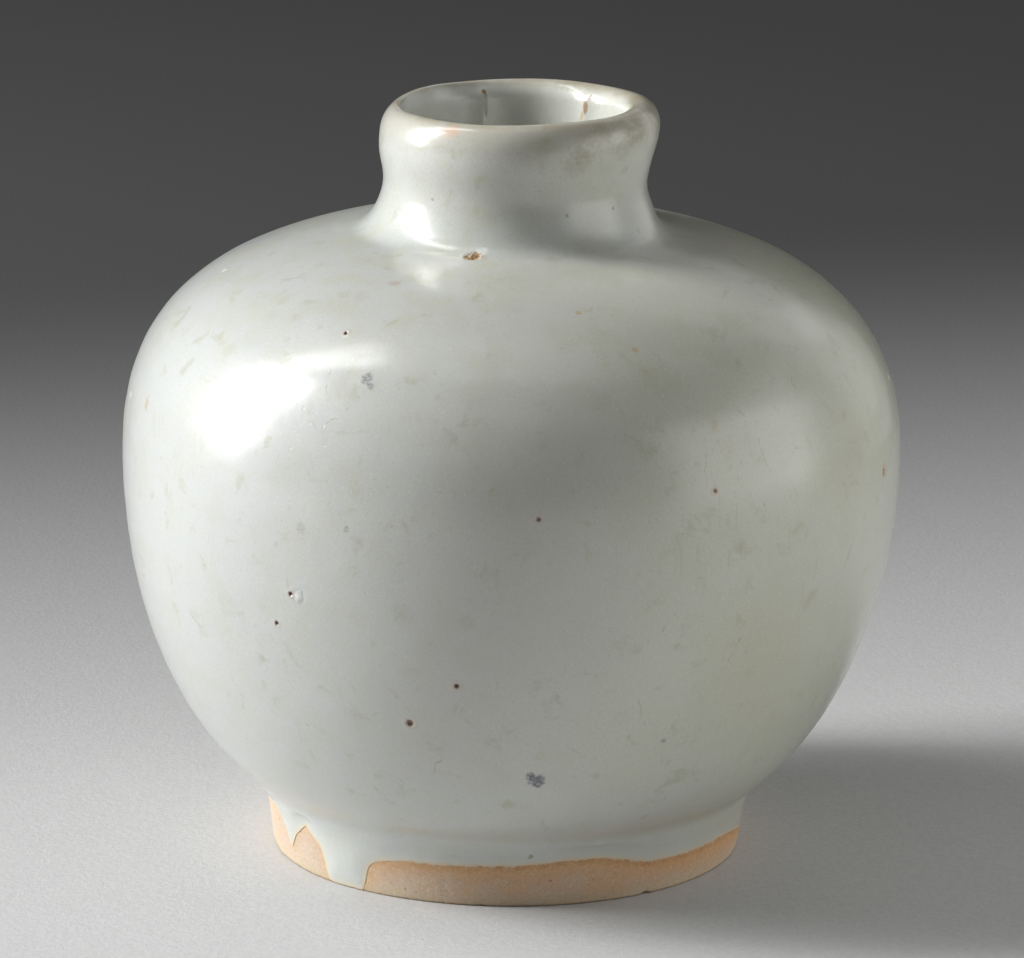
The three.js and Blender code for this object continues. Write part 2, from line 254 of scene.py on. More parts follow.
# Curves of the glazed surface
waist = at(WAIST_RADIUS, WAIST_HEIGHT)
belly = at(BELLY_RADIUS, BELLY_HEIGHT)
seat = at(SEAT_RADIUS, SEAT_HEIGHT)
root = at(SEAT_RADIUS - SEAM, SEAT_HEIGHT + ROOT_RISE)
neck = at(NECK_RADIUS, NECK_HEIGHT)
lip = at(LIP_RADIUS, LIP_HEIGHT)
crest = at(LIP_RADIUS - LIP_ROUND, CREST_HEIGHT)
mouth = at(BORE_RADIUS + MOUTH_FLARE, CREST_HEIGHT - MOUTH_ROUND_HEIGHT)
narrow = at(BORE_RADIUS, NECK_HEIGHT)
hollow_seat = at(
    SEAT_RADIUS - LEDGE_WIDTH,
    SEAT_HEIGHT - SHOULDER_WALL / math.cos(SHOULDER_SLOPE) + LEDGE_WIDTH * math.tan(SHOULDER_SLOPE),
)
hollow_root = hollow_seat + at(-SEAM, ROOT_RISE)
flank_way = at(math.cos(FLANK_RISE), math.sin(FLANK_RISE))
shoulder_way = at(math.cos(SHOULDER_SLOPE), -math.sin(SHOULDER_SLOPE))


def flank(steps):
    arm = flank_way * FLANK_LOWER_REACH * (BELLY_RADIUS - WAIST_RADIUS)
    return bend(waist, arm, at(0, -FLANK_UPPER_REACH * (BELLY_HEIGHT - WAIST_HEIGHT)), belly, steps)


def shoulder(steps):
    rise = at(0, SHOULDER_LOWER_REACH * (SEAT_HEIGHT - BELLY_HEIGHT))
    arm = shoulder_way * SHOULDER_UPPER_REACH * (BELLY_RADIUS - SEAT_RADIUS)
    return bend(belly, rise, arm, seat, steps)


def neck_outside(root_steps, flare_steps, round_steps):
    root_arm = shoulder_way * -ROOT_REACH * (root.x - neck.x) / math.cos(SHOULDER_SLOPE)
    flare_arm = at(0, 0.4 * (lip.z - neck.z))
    return [
        *bend(seat, -0.3 * shoulder_way, 0.3 * shoulder_way, root, 2),
        *bend(root, root_arm, at(0, -ROOT_REACH * (neck.z - seat.z)), neck, root_steps),
        *bend(neck, flare_arm, -flare_arm, lip, flare_steps),
        *quarter(at(crest.x, lip.z), LIP_ROUND, CREST_HEIGHT - LIP_HEIGHT, 0, 90, round_steps),
    ]


def neck_inside(round_steps, taper_steps):
    taper_arm = at(0, 0.4 * (mouth.z - narrow.z))
    across = crest.x - mouth.x
    return [
        *quarter(at(crest.x, mouth.z), across, MOUTH_ROUND_HEIGHT, 90, 180, round_steps),
        *bend(mouth, -taper_arm, taper_arm, narrow, taper_steps),
    ]


def hollow(steps):
    """Inside surface of the liner, from the narrowest place of the neck down to the floor."""
    corner = at(BORE_RADIUS, hollow_root.z + BORE_CORNER_HEIGHT)
    slope_end = -shoulder_way * 0.55 * (hollow_root.x - BORE_RADIUS)
    ceiling_arm = shoulder_way * SHOULDER_UPPER_REACH * (CAVITY_RADIUS - hollow_seat.x)
    ceiling_end = at(0, SHOULDER_LOWER_REACH * (hollow_seat.z - BELLY_HEIGHT))
    widest = at(CAVITY_RADIUS, BELLY_HEIGHT)
    flank_arm = at(0, -FLANK_UPPER_REACH * (BELLY_HEIGHT - FLOOR_HEIGHT))
    floor_arm = at(0.6 * (CAVITY_RADIUS - FLOOR_RADIUS), 0)
    return [
        at(BORE_RADIUS, LAP_HEIGHT),
        *straight(at(BORE_RADIUS, LAP_HEIGHT), corner, 6),
        *bend(corner, at(0, -0.55 * BORE_CORNER_HEIGHT), slope_end, hollow_root, 8),
        hollow_seat,
        *bend(hollow_seat, ceiling_arm, ceiling_end, widest, steps),
        *bend(widest, flank_arm, floor_arm, at(FLOOR_RADIUS, FLOOR_HEIGHT), steps),
        *straight(at(FLOOR_RADIUS, FLOOR_HEIGHT), at(0, FLOOR_HEIGHT), 14),
    ]


def clay_side(height):
    """Radius of the bare clay of the foot at a height."""
    return FOOT_RADIUS + (FOOT_TOP_RADIUS - FOOT_RADIUS) * height / FOOT_TOP


def foot_bulge(azimuth, height):
    """How far the front left of the foot stands out from a true circle."""
    away = (np.degrees(azimuth) - BULGE_AT + 180) % 360 - 180
    return FOOT_BULGE * bump(away, BULGE_SPREAD) * (1 - smoothstep(height, BULGE_LOW, BULGE_HIGH))


def ragged_line():
    """The glaze line at every half degree, its corners eased and its course a little ragged."""
    degrees = np.arange(-180, 180, 0.5)
    line = np.interp(degrees, *zip(*GLAZE_LINE))
    for _ in range(2):
        line = (np.roll(line, 1) + 2 * line + np.roll(line, -1)) / 4
    turn = np.radians(degrees)
    line += uneven(ring_points(turn, FOOT_RADIUS, 0 * turn), LINE_WANDER)
    return degrees, np.maximum(line, LINE_LOWEST)


line_degrees, line_heights = ragged_line()


def glaze_line(azimuth):
    """Height of the outer glaze's lower edge at an azimuth in radians."""
    return np.interp(np.degrees(azimuth), line_degrees, line_heights, period=360)


def line_distance(azimuth, height):
    """Distance over the foot's side from a place to the lower edge of the glaze, all positive."""
    turns = np.radians(np.arange(-180, 180, 0.025))
    tree = kdtree.KDTree(len(turns))
    for i, (turn, rise) in enumerate(zip(turns, glaze_line(turns))):
        tree.insert((FOOT_RADIUS * math.cos(turn), FOOT_RADIUS * math.sin(turn), rise), i)
    tree.balance()
    spots = zip(FOOT_RADIUS * np.cos(azimuth), FOOT_RADIUS * np.sin(azimuth), height)
    return np.array([tree.find(spot)[2] for spot in spots])


def turned(name, section, columns):
    """Draws a section edge by edge, spins it round the Z axis and closes its seam and poles."""
    bpy.ops.object.select_all(action="DESELECT")
    bpy.ops.mesh.primitive_plane_add(size=1)
    piece = bpy.context.object
    piece.name = piece.data.name = name
    bpy.ops.object.mode_set(mode="EDIT")
    bpy.ops.mesh.select_mode(type="VERT")
    bpy.ops.mesh.merge(type="CENTER")
    bpy.ops.transform.translate(value=section[0])
    for here, there in zip(section, section[1:]):
        bpy.ops.mesh.extrude_vertices_move(TRANSFORM_OT_translate={"value": there - here})
    bpy.ops.mesh.select_all(action="SELECT")
    bpy.ops.mesh.spin(steps=columns, angle=2 * math.pi, center=(0, 0, 0), axis=(0, 0, 1))
    bpy.ops.mesh.select_all(action="SELECT")
    bpy.ops.mesh.remove_doubles(threshold=0.004)
    bpy.ops.mesh.normals_make_consistent(inside=False)
    bpy.ops.object.mode_set(mode="OBJECT")
    return piece


def places(piece):
    flat = np.zeros(len(piece.data.vertices) * 3, np.float32)
    piece.data.vertices.foreach_get("co", flat)
    return flat.reshape(-1, 3).astype(float)


def move_to(piece, points):
    piece.data.vertices.foreach_set("co", np.asarray(points, np.float32).ravel())
    piece.data.update()


def unrolled(piece, section):
    """Row of the section that each vertex came from, with its azimuth, radius and height."""
    tree = kdtree.KDTree(len(section))
    for row, point in enumerate(section):
        tree.insert(point, row)
    tree.balance()
    points = places(piece)
    away = np.hypot(points[:, 0], points[:, 1])
    rows = np.array([tree.find((r, 0, z))[1] for r, z in zip(away, points[:, 2])])
    azimuth = np.arctan2(points[:, 1], points[:, 0])
    radius = np.array([p.x for p in section])[rows]
    height = np.array([p.z for p in section])[rows]
    return rows, azimuth, radius, height


def gathered(azimuth):
    """Azimuths drawn together round the run."""
    return azimuth - GATHER * np.sin(azimuth - GATHER_AT)


def outward(section):
    """Direction out of the wall at each row of a section that runs up along its outer side."""
    run = np.array([(p.x, p.z) for p in section])
    along = np.gradient(run, axis=0)
    along /= np.linalg.norm(along, axis=1)[:, None] + 1e-9
    return along[:, 1], -along[:, 0]


def paint(piece, name, values):
    """Keeps a number at each vertex, for a material to read."""
    layer = piece.data.attributes.new(name, "FLOAT", "POINT")
    layer.data.foreach_set("value", np.asarray(values, np.float32))


def finish(piece, slot, *nodes):
    """Turns a piece to metres, smooths it, and hands it to the frame."""
    move_to(piece, places(piece) * MM)
    bpy.ops.object.select_all(action="DESELECT")
    piece.select_set(True)
    bpy.context.view_layer.objects.active = piece
    bpy.ops.object.shade_smooth()
    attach(piece, "root")
    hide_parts(*nodes)


# Outside of the pot as one run of rows, for the coat and for placing its flaws
foot_top = at(clay_side(FOOT_GLAZE_TOP) + FOOT_GLAZE_THICKNESS, FOOT_GLAZE_TOP)
flank_rows = flank(46)
flank_start = next(i for i, point in enumerate(flank_rows) if point.z > WAIST_HEIGHT + FILLET_RISE)
leaving = (flank_rows[flank_start + 1] - flank_rows[flank_start]).normalized()
waist_fillet = bend(
    foot_top, at(*FILLET_LEAVES), -FILLET_ARRIVES * leaving, flank_rows[flank_start], 11
)
outside = [
    *waist_fillet, *flank_rows[flank_start + 1:], *shoulder(38),
    *neck_outside(root_steps=10, flare_steps=14, round_steps=14),
    *neck_inside(round_steps=10, taper_steps=12),
]
# Its part from the foot up to the lip
climb = [p for p in outside if p.x >= NECK_RADIUS or p.z < NECK_HEIGHT]
climb = climb[:next(i for i, p in enumerate(climb) if p.z >= LIP_HEIGHT)]


def on_pot(azimuth, radius, height, shift=0.0):
    """Place at an azimuth in degrees, a radius and a height, round the pot's leaning middle."""
    turn = math.radians(azimuth)
    x = float(lean(height)) + shift + radius * math.cos(turn)
    return Vector((x, radius * math.sin(turn), height))


def on_glaze(azimuth, height):
    """Place on the coat at an azimuth in degrees and a height."""
    if height < FOOT_GLAZE_TOP:
        radius = clay_side(height) + FOOT_GLAZE_THICKNESS / 2
    else:
        radius = np.interp(height, [p.z for p in climb], [p.x for p in climb])
    return on_pot(azimuth, radius, height)


def on_lip(azimuth, height):
    """Place on the outside of the lip at an azimuth in degrees and a height."""
    fall = np.clip((height - LIP_HEIGHT) / (CREST_HEIGHT - LIP_HEIGHT), 0, 1)
    return on_pot(azimuth, crest.x + LIP_ROUND * math.sqrt(1 - fall ** 2), height)


def in_bore(azimuth, height):
    """Place just inside the wall of the neck's bore at an azimuth in degrees and a height."""
    radius = np.interp(height, [narrow.z, mouth.z, crest.z], [narrow.x, mouth.x, crest.x]) - 0.5
    return on_pot(azimuth, radius, height, BORE_OFFSET)


def bore_ridges(azimuth):
    """1 on a ridge of the bore, falling off sharply."""
    share = np.zeros(azimuth.shape)
    for ridge, width in BORE_RIDGES:
        away = np.abs((azimuth - math.radians(ridge) + math.pi) % (2 * math.pi) - math.pi)
        share = np.maximum(share, np.exp(-away / width))
    return share


def dent(piece, flaws, reach, cuts, profile):
    """Gives the faces round each flaw more vertices, and moves these along their normals."""
    centres = [on_glaze(azimuth, height) for azimuth, height, _ in flaws]
    mesh = piece.data
    for face in mesh.polygons:
        face.select = any((face.center - c).length < reach for c in centres)
    for vertex in mesh.vertices:
        vertex.select = False
    for edge in mesh.edges:
        edge.select = False
    bpy.ops.object.mode_set(mode="EDIT")
    bpy.ops.mesh.select_mode(type="FACE")
    bpy.ops.mesh.subdivide(number_cuts=cuts, smoothness=0.0)
    bpy.ops.mesh.select_all(action="DESELECT")
    bpy.ops.object.mode_set(mode="OBJECT")
    points = places(piece)
    normals = np.zeros(len(mesh.vertices) * 3, np.float32)
    mesh.vertices.foreach_get("normal", normals)
    normals = normals.reshape(-1, 3)
    for centre, (_, _, radius) in zip(centres, flaws):
        away = np.linalg.norm(points - np.array(centre), axis=1)
        near = away < reach
        depth = profile(away[near] / radius)
        points[near] += normals[near] * (depth * radius)[:, None]
    move_to(piece, points)


def pinhole(away):
    """A pit with a low swollen rim, in radii of the pit."""
    return 0.07 * bump(away - 1.3, 0.5) - 0.6 * (1 - smoothstep(away, 0.25, 1.05))


def dimple(away):
    return 0.13 * bump(away, 0.8) - 0.05 * bump(away - 1.3, 0.4)


def chip(away):
    return 0.04 * bump(away - 1.4, 0.4) - 0.16 * (1 - smoothstep(away, 0.3, 1.25))


def coat_rows():
    """The coat's rows on the foot, over its whole face, down its back, and behind it on the foot."""
    foot_rows = [at(clay_side(0) + ROWS_APART, EDGE_NOMINAL + rise) for rise in EDGE_ROWS]
    foot_rows += straight(foot_rows[-1], foot_top, 12)[:-1]
    face = [*foot_rows, foot_top, *outside]
    behind = inset([foot_top, *outside], GLAZE)[::5][::-1][:-2]
    behind[0] = at(BORE_RADIUS + GLAZE, NECK_HEIGHT)
    hidden = [*HIDDEN_HEIGHTS, *[p.z for p in foot_rows][::-2], EDGE_NOMINAL]
    behind_foot = [at(clay_side(0) - ROWS_APART, z) for z in hidden]
    return foot_rows, face, behind, behind_foot


def spread_on_foot(azimuth, height):
    """Makes rows on the foot follow the glaze line and fade out of it upwards."""
    edge = glaze_line(azimuth)
    rigid = EDGE_ROWS[-1]
    lift = height - EDGE_NOMINAL
    stretch = (FOOT_GLAZE_TOP - edge - rigid) / (FOOT_GLAZE_TOP - EDGE_NOMINAL - rigid)
    return edge + np.where(lift < rigid, lift, rigid + (lift - rigid) * stretch)


def glaze_on_foot(azimuth, height):
    """Radius of the coat's face on the foot."""
    away = line_distance(azimuth, height)
    roll = EDGE_STEP + EDGE_THICKNESS * smoothstep(away, -0.2, EDGE_ROUND)
    swell = BEAD + RUN_SWELL * bump(np.degrees(azimuth) - RUN_AT, RUN_SPREAD)
    roll += swell * smoothstep(away, 0.2, BEAD_REACH) * (1 - smoothstep(height, 4, 7))
    climbed = np.clip((height - THICKENING_LOW) / (FOOT_GLAZE_TOP - THICKENING_LOW), 0, 1)
    thickening = (FOOT_GLAZE_THICKNESS - EDGE_THICKNESS) * climbed ** 2
    return clay_side(height) + roll + thickening * smoothstep(away, 0, THICKENING_REACH)


def thrown_by_hand(azimuth, radius, height, across, up, on_face, on_bore):
    """Gives the coat's rows lumps, throwing rings, ridges in the bore and an uneven shoulder and lip."""
    soft = smoothstep(height, FOOT_GLAZE_TOP, FOOT_GLAZE_TOP + 4)
    rings = 0.018 * np.sin(height * 1.35 + 0.4 * np.sin(azimuth)) * smoothstep(height, 12, 24)
    rise = (uneven(ring_points(azimuth, radius, height), COAT_SWELL) + rings) * soft * on_face
    below_crest = smoothstep(CREST_HEIGHT - height, 0.25, 1.8)
    rise += RIDGE_HEIGHT * bore_ridges(azimuth) * on_bore * below_crest
    radius = radius + rise * across
    height = height + rise * up

    # The lip hangs lower on the left. On the right the shoulder is lower and the neck's root wider.
    right = 0.5 + 0.5 * np.cos(azimuth)
    height += bump(height - 93.4, 4.2) * (0.9 * np.cos(azimuth) - 0.75) * on_face
    height -= 0.25 * bump(radius - 23, 5) * (height > BELLY_HEIGHT) * right
    radius += 0.45 * bump(height - 84.3, 2.0) * right ** 2 * on_face

    # The lip dips and the flank stands out a little on the left, and the lip is wavy all round
    left = np.clip(-np.cos(azimuth), 0, 1) ** 2
    height -= 0.5 * left * smoothstep(height, 94.5, 97.5)
    radius += 0.3 * left * bump(height - 34, 26) * on_face
    waves = 0.13 * np.cos(2 * azimuth + 0.8) + 0.07 * np.cos(5 * azimuth) - 0.1 * np.cos(azimuth)
    height += smoothstep(height, NECK_HEIGHT, LIP_HEIGHT) * waves
    return radius, height


def outer_coat():
    """Glaze on the outside of the pot, over the lip and down the neck's bore."""
    foot_rows, face, behind, behind_foot = coat_rows()
    section = [*face, *behind, *behind_foot, face[0]]
    piece = turned("glaze_coat", section, COLUMNS)
    rows, azimuth, radius, height = unrolled(piece, section[:-1])
    azimuth = gathered(azimuth)
    on_face = rows < len(face)
    on_bore = (rows >= len(face) - BORE_ROWS) & on_face
    on_foot = (rows < len(foot_rows)) | (rows >= len(face) + len(behind))

    followed = spread_on_foot(azimuth, height)
    height = np.where(on_foot & (height < FOOT_GLAZE_TOP), followed, height)
    radius = np.where(on_foot & on_face, glaze_on_foot(azimuth, height), radius)
    radius = np.where(on_foot & ~on_face, clay_side(height) - BEHIND_GLAZE, radius)
    radius += foot_bulge(azimuth, height)

    across, up = (part[rows] for part in outward(section))
    radius, height = thrown_by_hand(azimuth, radius, height, across, up, on_face, on_bore)
    to_bore = smoothstep(-radius, -crest.x, -mouth.x) * (height > NECK_HEIGHT - 1)
    move_to(piece, ring_points(azimuth, radius, height, lean(height) + BORE_OFFSET * to_bore))
    dent(piece, PINHOLES, reach=1.3, cuts=6, profile=pinhole)
    dent(piece, DIMPLES, reach=1.9, cuts=4, profile=dimple)
    dent(piece, ROOT_CHIP, reach=1.8, cuts=2, profile=chip)
    points = places(piece)
    turn = np.arctan2(points[:, 1], points[:, 0] - FOOT_SHIFT)
    gap = np.where(points[:, 2] < WAIST_HEIGHT, line_distance(turn, points[:, 2]), FAR_FROM_EDGE)
    paint(piece, "from_edge", gap)
    return piece


def inner_liner():
    """Glaze poured inside the pot, from the bore down to the floor."""
    face = hollow(44)
    back = inset(face, GLAZE)[::-1]
    back[0].x = 0
    back[-1].z = face[0].z
    section = [*face, *back, face[0]]
    piece = turned("glaze_liner", section, LINER_COLUMNS)
    rows, azimuth, radius, height = unrolled(piece, section[:-1])
    on_face = rows < len(face)
    above_floor = smoothstep(height, FLOOR_HEIGHT + 2, FLOOR_HEIGHT + 8)
    below_belly = 1 - smoothstep(height, BELLY_HEIGHT, BELLY_HEIGHT + 10)
    rings = 0.10 * np.sin(height * 0.9 + azimuth) * above_floor * below_belly
    swell = uneven(ring_points(azimuth, radius, height), LINER_SWELL)
    radius += on_face * (rings + swell) * smoothstep(radius, 1, 6)
    upper = smoothstep(height, hollow_root.z, hollow_root.z + BORE_CORNER_HEIGHT)
    radius -= RIDGE_HEIGHT * bore_ridges(azimuth) * upper * on_face
    radius += 0.05 * smoothstep(height, LAP_HEIGHT - 1.5, LAP_HEIGHT) * on_face
    move_to(piece, ring_points(azimuth, radius, height, lean(height) + BORE_OFFSET * upper))
    paint(piece, "from_edge", np.full(len(height), FAR_FROM_EDGE))
    return piece


def foot_section():
    """Outline of the foot ring: its underside, its outer side, its top and its bore."""
    worn = FOOT_WEAR
    section = [
        *straight(at(FOOT_BORE + worn, 0), at(FOOT_RADIUS - worn, 0), 12),
        *quarter(at(FOOT_RADIUS - worn, worn), worn, worn, -90, 0, 6),
        *straight(at(clay_side(worn), worn), at(FOOT_TOP_RADIUS, FOOT_TOP), 26),
        *straight(at(FOOT_TOP_RADIUS, FOOT_TOP), at(FOOT_BORE_TOP, FOOT_TOP), 5),
        *straight(at(FOOT_BORE_TOP, FOOT_TOP), at(FOOT_BORE_TOP, RECESS_DEPTH), 5),
        *straight(at(FOOT_BORE_TOP, RECESS_DEPTH), at(FOOT_BORE, worn), 14),
        *quarter(at(FOOT_BORE + worn, worn), worn, worn, 180, 270, 5)[:-1],
    ]
    return [*section, section[0]]


def foot():
    """Foot ring of bare clay, thrown and turned, worn along its lower edge."""
    section = foot_section()
    piece = turned("foot_clay", section, FOOT_COLUMNS)
    rows, azimuth, radius, height = unrolled(piece, section[:-1])
    across, up = (part[rows] for part in outward(section))
    around = ring_points(azimuth, radius, height)
    turning = 0.03 * np.sin(height * 6.5 + azimuth) + 0.035 * np.sin(radius * 5.2 - azimuth)
    below_top = 1 - smoothstep(height, FOOT_TOP - 1.2, FOOT_TOP)
    rise = (uneven(around, FOOT_GRAIN) + turning) * below_top

    # Under the glaze the outer side stays smooth, so that it doesn't come through
    from_edge = line_distance(azimuth, height)
    bare = smoothstep(glaze_line(azimuth) - height, -0.5, 0.1) * smoothstep(from_edge, 0.1, 1.1)
    rise = np.where(across > 0.7, np.minimum(rise, 0.0) * bare, rise)
    for turn, width, depth in FOOT_CHIPS:
        side = math.radians(turn)
        centre = (FOOT_RADIUS * math.cos(side), FOOT_RADIUS * math.sin(side), 0)
        away = np.linalg.norm((around - centre) * (1, 1, 1.6), axis=1)
        rise -= depth * (1 - smoothstep(away, 0.2, width)) * (0.8 + 0.4 * lumps(around, 0.8, 8))
    outer = smoothstep(radius, FOOT_BORE + 1, FOOT_RADIUS - 0.5)
    radius += rise * across + foot_bulge(azimuth, height) * outer
    height = np.maximum(height + rise * up, 0)
    move_to(piece, ring_points(azimuth, radius, height, lean(height)))
    paint(piece, "from_edge", from_edge)
    return piece


def luting_ring():
    """Slip between the foot ring and the body."""
    skirt = FOOT_BORE_TOP - CLEARANCE
    brim = FOOT_TOP_RADIUS - 0.2
    hem = RECESS_DEPTH - 0.1
    flange = FOOT_TOP + CLEARANCE
    section = [
        *straight(at(skirt, hem), at(skirt, flange), 8),
        *straight(at(skirt, flange), at(brim, flange), 8),
        at(brim, flange + LUTING),
        *straight(at(brim, flange + LUTING), at(skirt - LUTING, flange + LUTING), 8),
        *straight(at(skirt - LUTING, flange + LUTING), at(skirt - LUTING - 0.25, hem), 8),
    ]
    section.append(section[0])
    piece = turned("foot_slip", section, HIDDEN_COLUMNS)
    points = places(piece)
    low = 1 - smoothstep(points[:, 2], RECESS_DEPTH, RECESS_DEPTH + 0.6)
    points[:, 2] += low * (0.25 * lumps(points, 2.4, 9) - 0.1)
    points[:, 0] += lean(points[:, 2])
    move_to(piece, points)
    return piece


def base():
    """Lower half of the body in clay, with the underside that shows inside the foot ring."""
    disc = FOOT_BORE_TOP - SEAM
    clay_outside = inset([waist, *flank(26)], COAT)
    clay_inside = inset(hollow(26), COAT)
    widest = min(clay_inside, key=lambda p: abs(p.z - BELLY_HEIGHT))
    low_inside = clay_inside[clay_inside.index(widest) + 1:]
    rim_out, rim_in = at(clay_outside[-1].x, RIM_HEIGHT), at(widest.x, RIM_HEIGHT)
    section = [
        at(0, RECESS_DEPTH),
        *straight(at(0, RECESS_DEPTH), at(disc, RECESS_DEPTH), 72),
        *straight(at(disc, RECESS_DEPTH), at(disc, clay_outside[0].z), 6),
        *straight(at(disc, clay_outside[0].z), clay_outside[0], 6),
        *clay_outside[1:-1],
        rim_out,
        rim_out.lerp(rim_in, 0.5) - at(0, GROOVE_DEPTH),
        rim_in,
        *low_inside[:-1],
        at(0, low_inside[-1].z),
    ]
    piece = turned("base_clay", section, HIDDEN_COLUMNS)
    points = places(piece)
    radius = np.hypot(points[:, 0], points[:, 1])
    azimuth = np.arctan2(points[:, 1], points[:, 0])
    under = points[:, 2] < RECESS_DEPTH + 0.05
    spiral = 0.07 * np.sin(radius * 3.3 - azimuth) + uneven(points, UNDERSIDE_GRAIN)
    navel = -0.9 * bump(radius, 2.6) + 0.35 * bump(radius - 4.6, 1.6)
    dome = 0.35 * (1 - (radius / disc) ** 2)
    points[:, 2] += under * (spiral * smoothstep(radius, 0.5, 2) + navel + dome)
    points[:, 0] += lean(points[:, 2])
    move_to(piece, points)
    return piece


class Field:
    """A socket of a material that Python's operators work on."""

    def __init__(self, surface, socket):
        self.surface = surface
        self.socket = socket

    def maths(self, operation, first, second):
        return self.surface.node("ShaderNodeMath", {"operation": operation}, {0: first, 1: second})

    def __add__(self, other):
        return self.maths("ADD", self, other)

    def __radd__(self, other):
        return self.maths("ADD", other, self)

    def __sub__(self, other):
        return self.maths("SUBTRACT", self, other)

    def __rsub__(self, other):
        return self.maths("SUBTRACT", other, self)

    def __mul__(self, other):
        return self.maths("MULTIPLY", self, other)

    def __rmul__(self, other):
        return self.maths("MULTIPLY", other, self)

    def ramp(self, low, high):
        """A smooth step from 0 to 1 as the value goes from low to high, in either direction."""
        first, last = (0.0, 1.0) if low < high else (1.0, 0.0)
        values = {0: self, 1: min(low, high), 2: max(low, high), 3: first, 4: last}
        return self.surface.node("ShaderNodeMapRange", {"interpolation_type": "SMOOTHSTEP"}, values)


class Surface:
    """One material, the colour laid on it so far, and the methods that add nodes to it."""

    def __init__(self, name, ground):
        self.tone = ground
        self.material = bpy.data.materials.new(name)
        self.material.use_nodes = True
        self.tree = self.material.node_tree
        self.shader = self.tree.nodes["Principled BSDF"]
        metres = self.node("ShaderNodeTexCoord", {}, {}, "Object")
        self.place = self.vector("MULTIPLY", metres, (1 / MM, 1 / MM, 1 / MM))
        self.x, self.y, self.z = (
            self.node("ShaderNodeSeparateXYZ", {}, {0: self.place}, axis) for axis in "XYZ"
        )
        self.grit = self.grain(0.5, 3, seed=1)
        wander = self.node("ShaderNodeTexNoise", {}, {"Vector": self.place, "Scale": 0.7}, "Color")
        self.wavy = self.vector("MULTIPLY_ADD", wander, (1.4, 1.4, 1.4), self.place)

    def node(self, kind, settings, values, output=0):
        made = self.tree.nodes.new(kind)
        for setting, value in settings.items():
            setattr(made, setting, value)
        for socket, value in values.items():
            if isinstance(value, Field):
                self.tree.links.new(value.socket, made.inputs[socket])
            else:
                made.inputs[socket].default_value = value
        return Field(self, made.outputs[output])

    def vector(self, operation, *values, output="Vector"):
        settings = {"operation": operation}
        return self.node("ShaderNodeVectorMath", settings, dict(enumerate(values)), output)

    def grain(self, size, detail=2.0, roughness=0.5, shape=(1, 1, 1), seed=0, distortion=0.0):
        """Noise between 0 and 1 with features of a size in millimetres."""
        moved = self.vector("MULTIPLY_ADD", self.place, shape, (seed * 31.7, seed * 12.9, seed * 47.3))
        values = {"Vector": moved, "Scale": 1 / size, "Detail": detail, "Roughness": roughness}
        values["Distortion"] = distortion
        return self.node("ShaderNodeTexNoise", {}, values)

    def mix(self, factor, first, second):
        values = {0: factor, 6: first, 7: second}
        return self.node("ShaderNodeMix", {"data_type": "RGBA"}, values, 2)

    def wash(self, mask, tint):
        """Lays a colour over the ones before it, as strongly as the mask says."""
        self.tone = self.mix(mask, self.tone, tint)

    def spot(self, centre, radius, ragged=0.0, flatten=1.0, soft=0.5):
        """1 at a place, falling to 0 at a radius. It is lower than wide by the flattening."""
        near = self.vector("MULTIPLY", self.place, (1, 1, flatten))
        middle = (centre.x, centre.y, centre.z * flatten)
        away = self.vector("DISTANCE", near, middle, output="Value")
        if ragged:
            away = away + (self.grit - 0.5) * (ragged * radius)
        return away.ramp(radius, radius * (1 - soft))

    def patch(self, azimuth, height, radius):
        """A wide soft area round a place on the glaze."""
        return self.spot(on_glaze(azimuth, height), radius, soft=0.9)

    def stroke(self, start, end, width):
        """1 along a wavy line from one place to another."""
        run = end - start
        offset = self.vector("SUBTRACT", self.wavy, tuple(start + Vector((0.7, 0.7, 0.7))))
        along = self.vector("DOT_PRODUCT", offset, tuple(run / run.length_squared), output="Value")
        share = self.node("ShaderNodeClamp", {}, {0: along})
        values = {0: tuple(run), "Scale": share}
        nearest = self.node("ShaderNodeVectorMath", {"operation": "SCALE"}, values)
        away = self.vector("DISTANCE", offset, nearest, output="Value")
        return away.ramp(width, width * 0.25)

    def attribute(self, name):
        return self.node("ShaderNodeAttribute", {"attribute_name": name}, {}, "Fac")

    def bumped(self, height, strength, distance):
        values = {"Height": height, "Strength": strength, "Distance": distance * MM}
        relief = self.node("ShaderNodeBump", {}, values)
        self.tree.links.new(relief.socket, self.shader.inputs["Normal"])

    def set(self, **values):
        for name, value in values.items():
            socket = self.shader.inputs[name.replace("_", " ")]
            if isinstance(value, Field):
                self.tree.links.new(value.socket, socket)
            else:
                socket.default_value = value


def colour(red, green, blue):
    return (red, green, blue, 1.0)


PALE_GLAZE = colour(0.610, 0.618, 0.570)
COOL_GLAZE = colour(0.600, 0.620, 0.605)
POOLED_GLAZE = colour(0.615, 0.650, 0.630)
KHAKI = colour(0.560, 0.568, 0.430)
OLIVE = colour(0.400, 0.395, 0.240)
WARM_RIM = colour(0.470, 0.410, 0.290)
STAIN = colour(0.330, 0.300, 0.195)
IRON = colour(0.060, 0.030, 0.018)
RUST = colour(0.330, 0.180, 0.085)
PINK_HALO = colour(0.600, 0.475, 0.390)
OCHRE = colour(0.560, 0.375, 0.150)
BLUE_SMUDGE = colour(0.120, 0.125, 0.170)
WHITE_SPECK = colour(0.760, 0.780, 0.740)
PAINTED_GLINT = colour(0.84, 0.86, 0.83)
OLIVE_SPECK = colour(0.22, 0.22, 0.10)
BORE_PAINTED_LIGHT = colour(0.82, 0.84, 0.79)
BORE_SCRATCH = colour(0.24, 0.23, 0.16)
BORE_RUST = colour(0.38, 0.23, 0.11)
LIP_FLUSH = colour(0.66, 0.42, 0.27)
THIN_GLAZE = colour(0.70, 0.67, 0.54)
GLAZE_EDGE = colour(0.72, 0.56, 0.36)
CHIP_CLAY = colour(0.66, 0.42, 0.17)
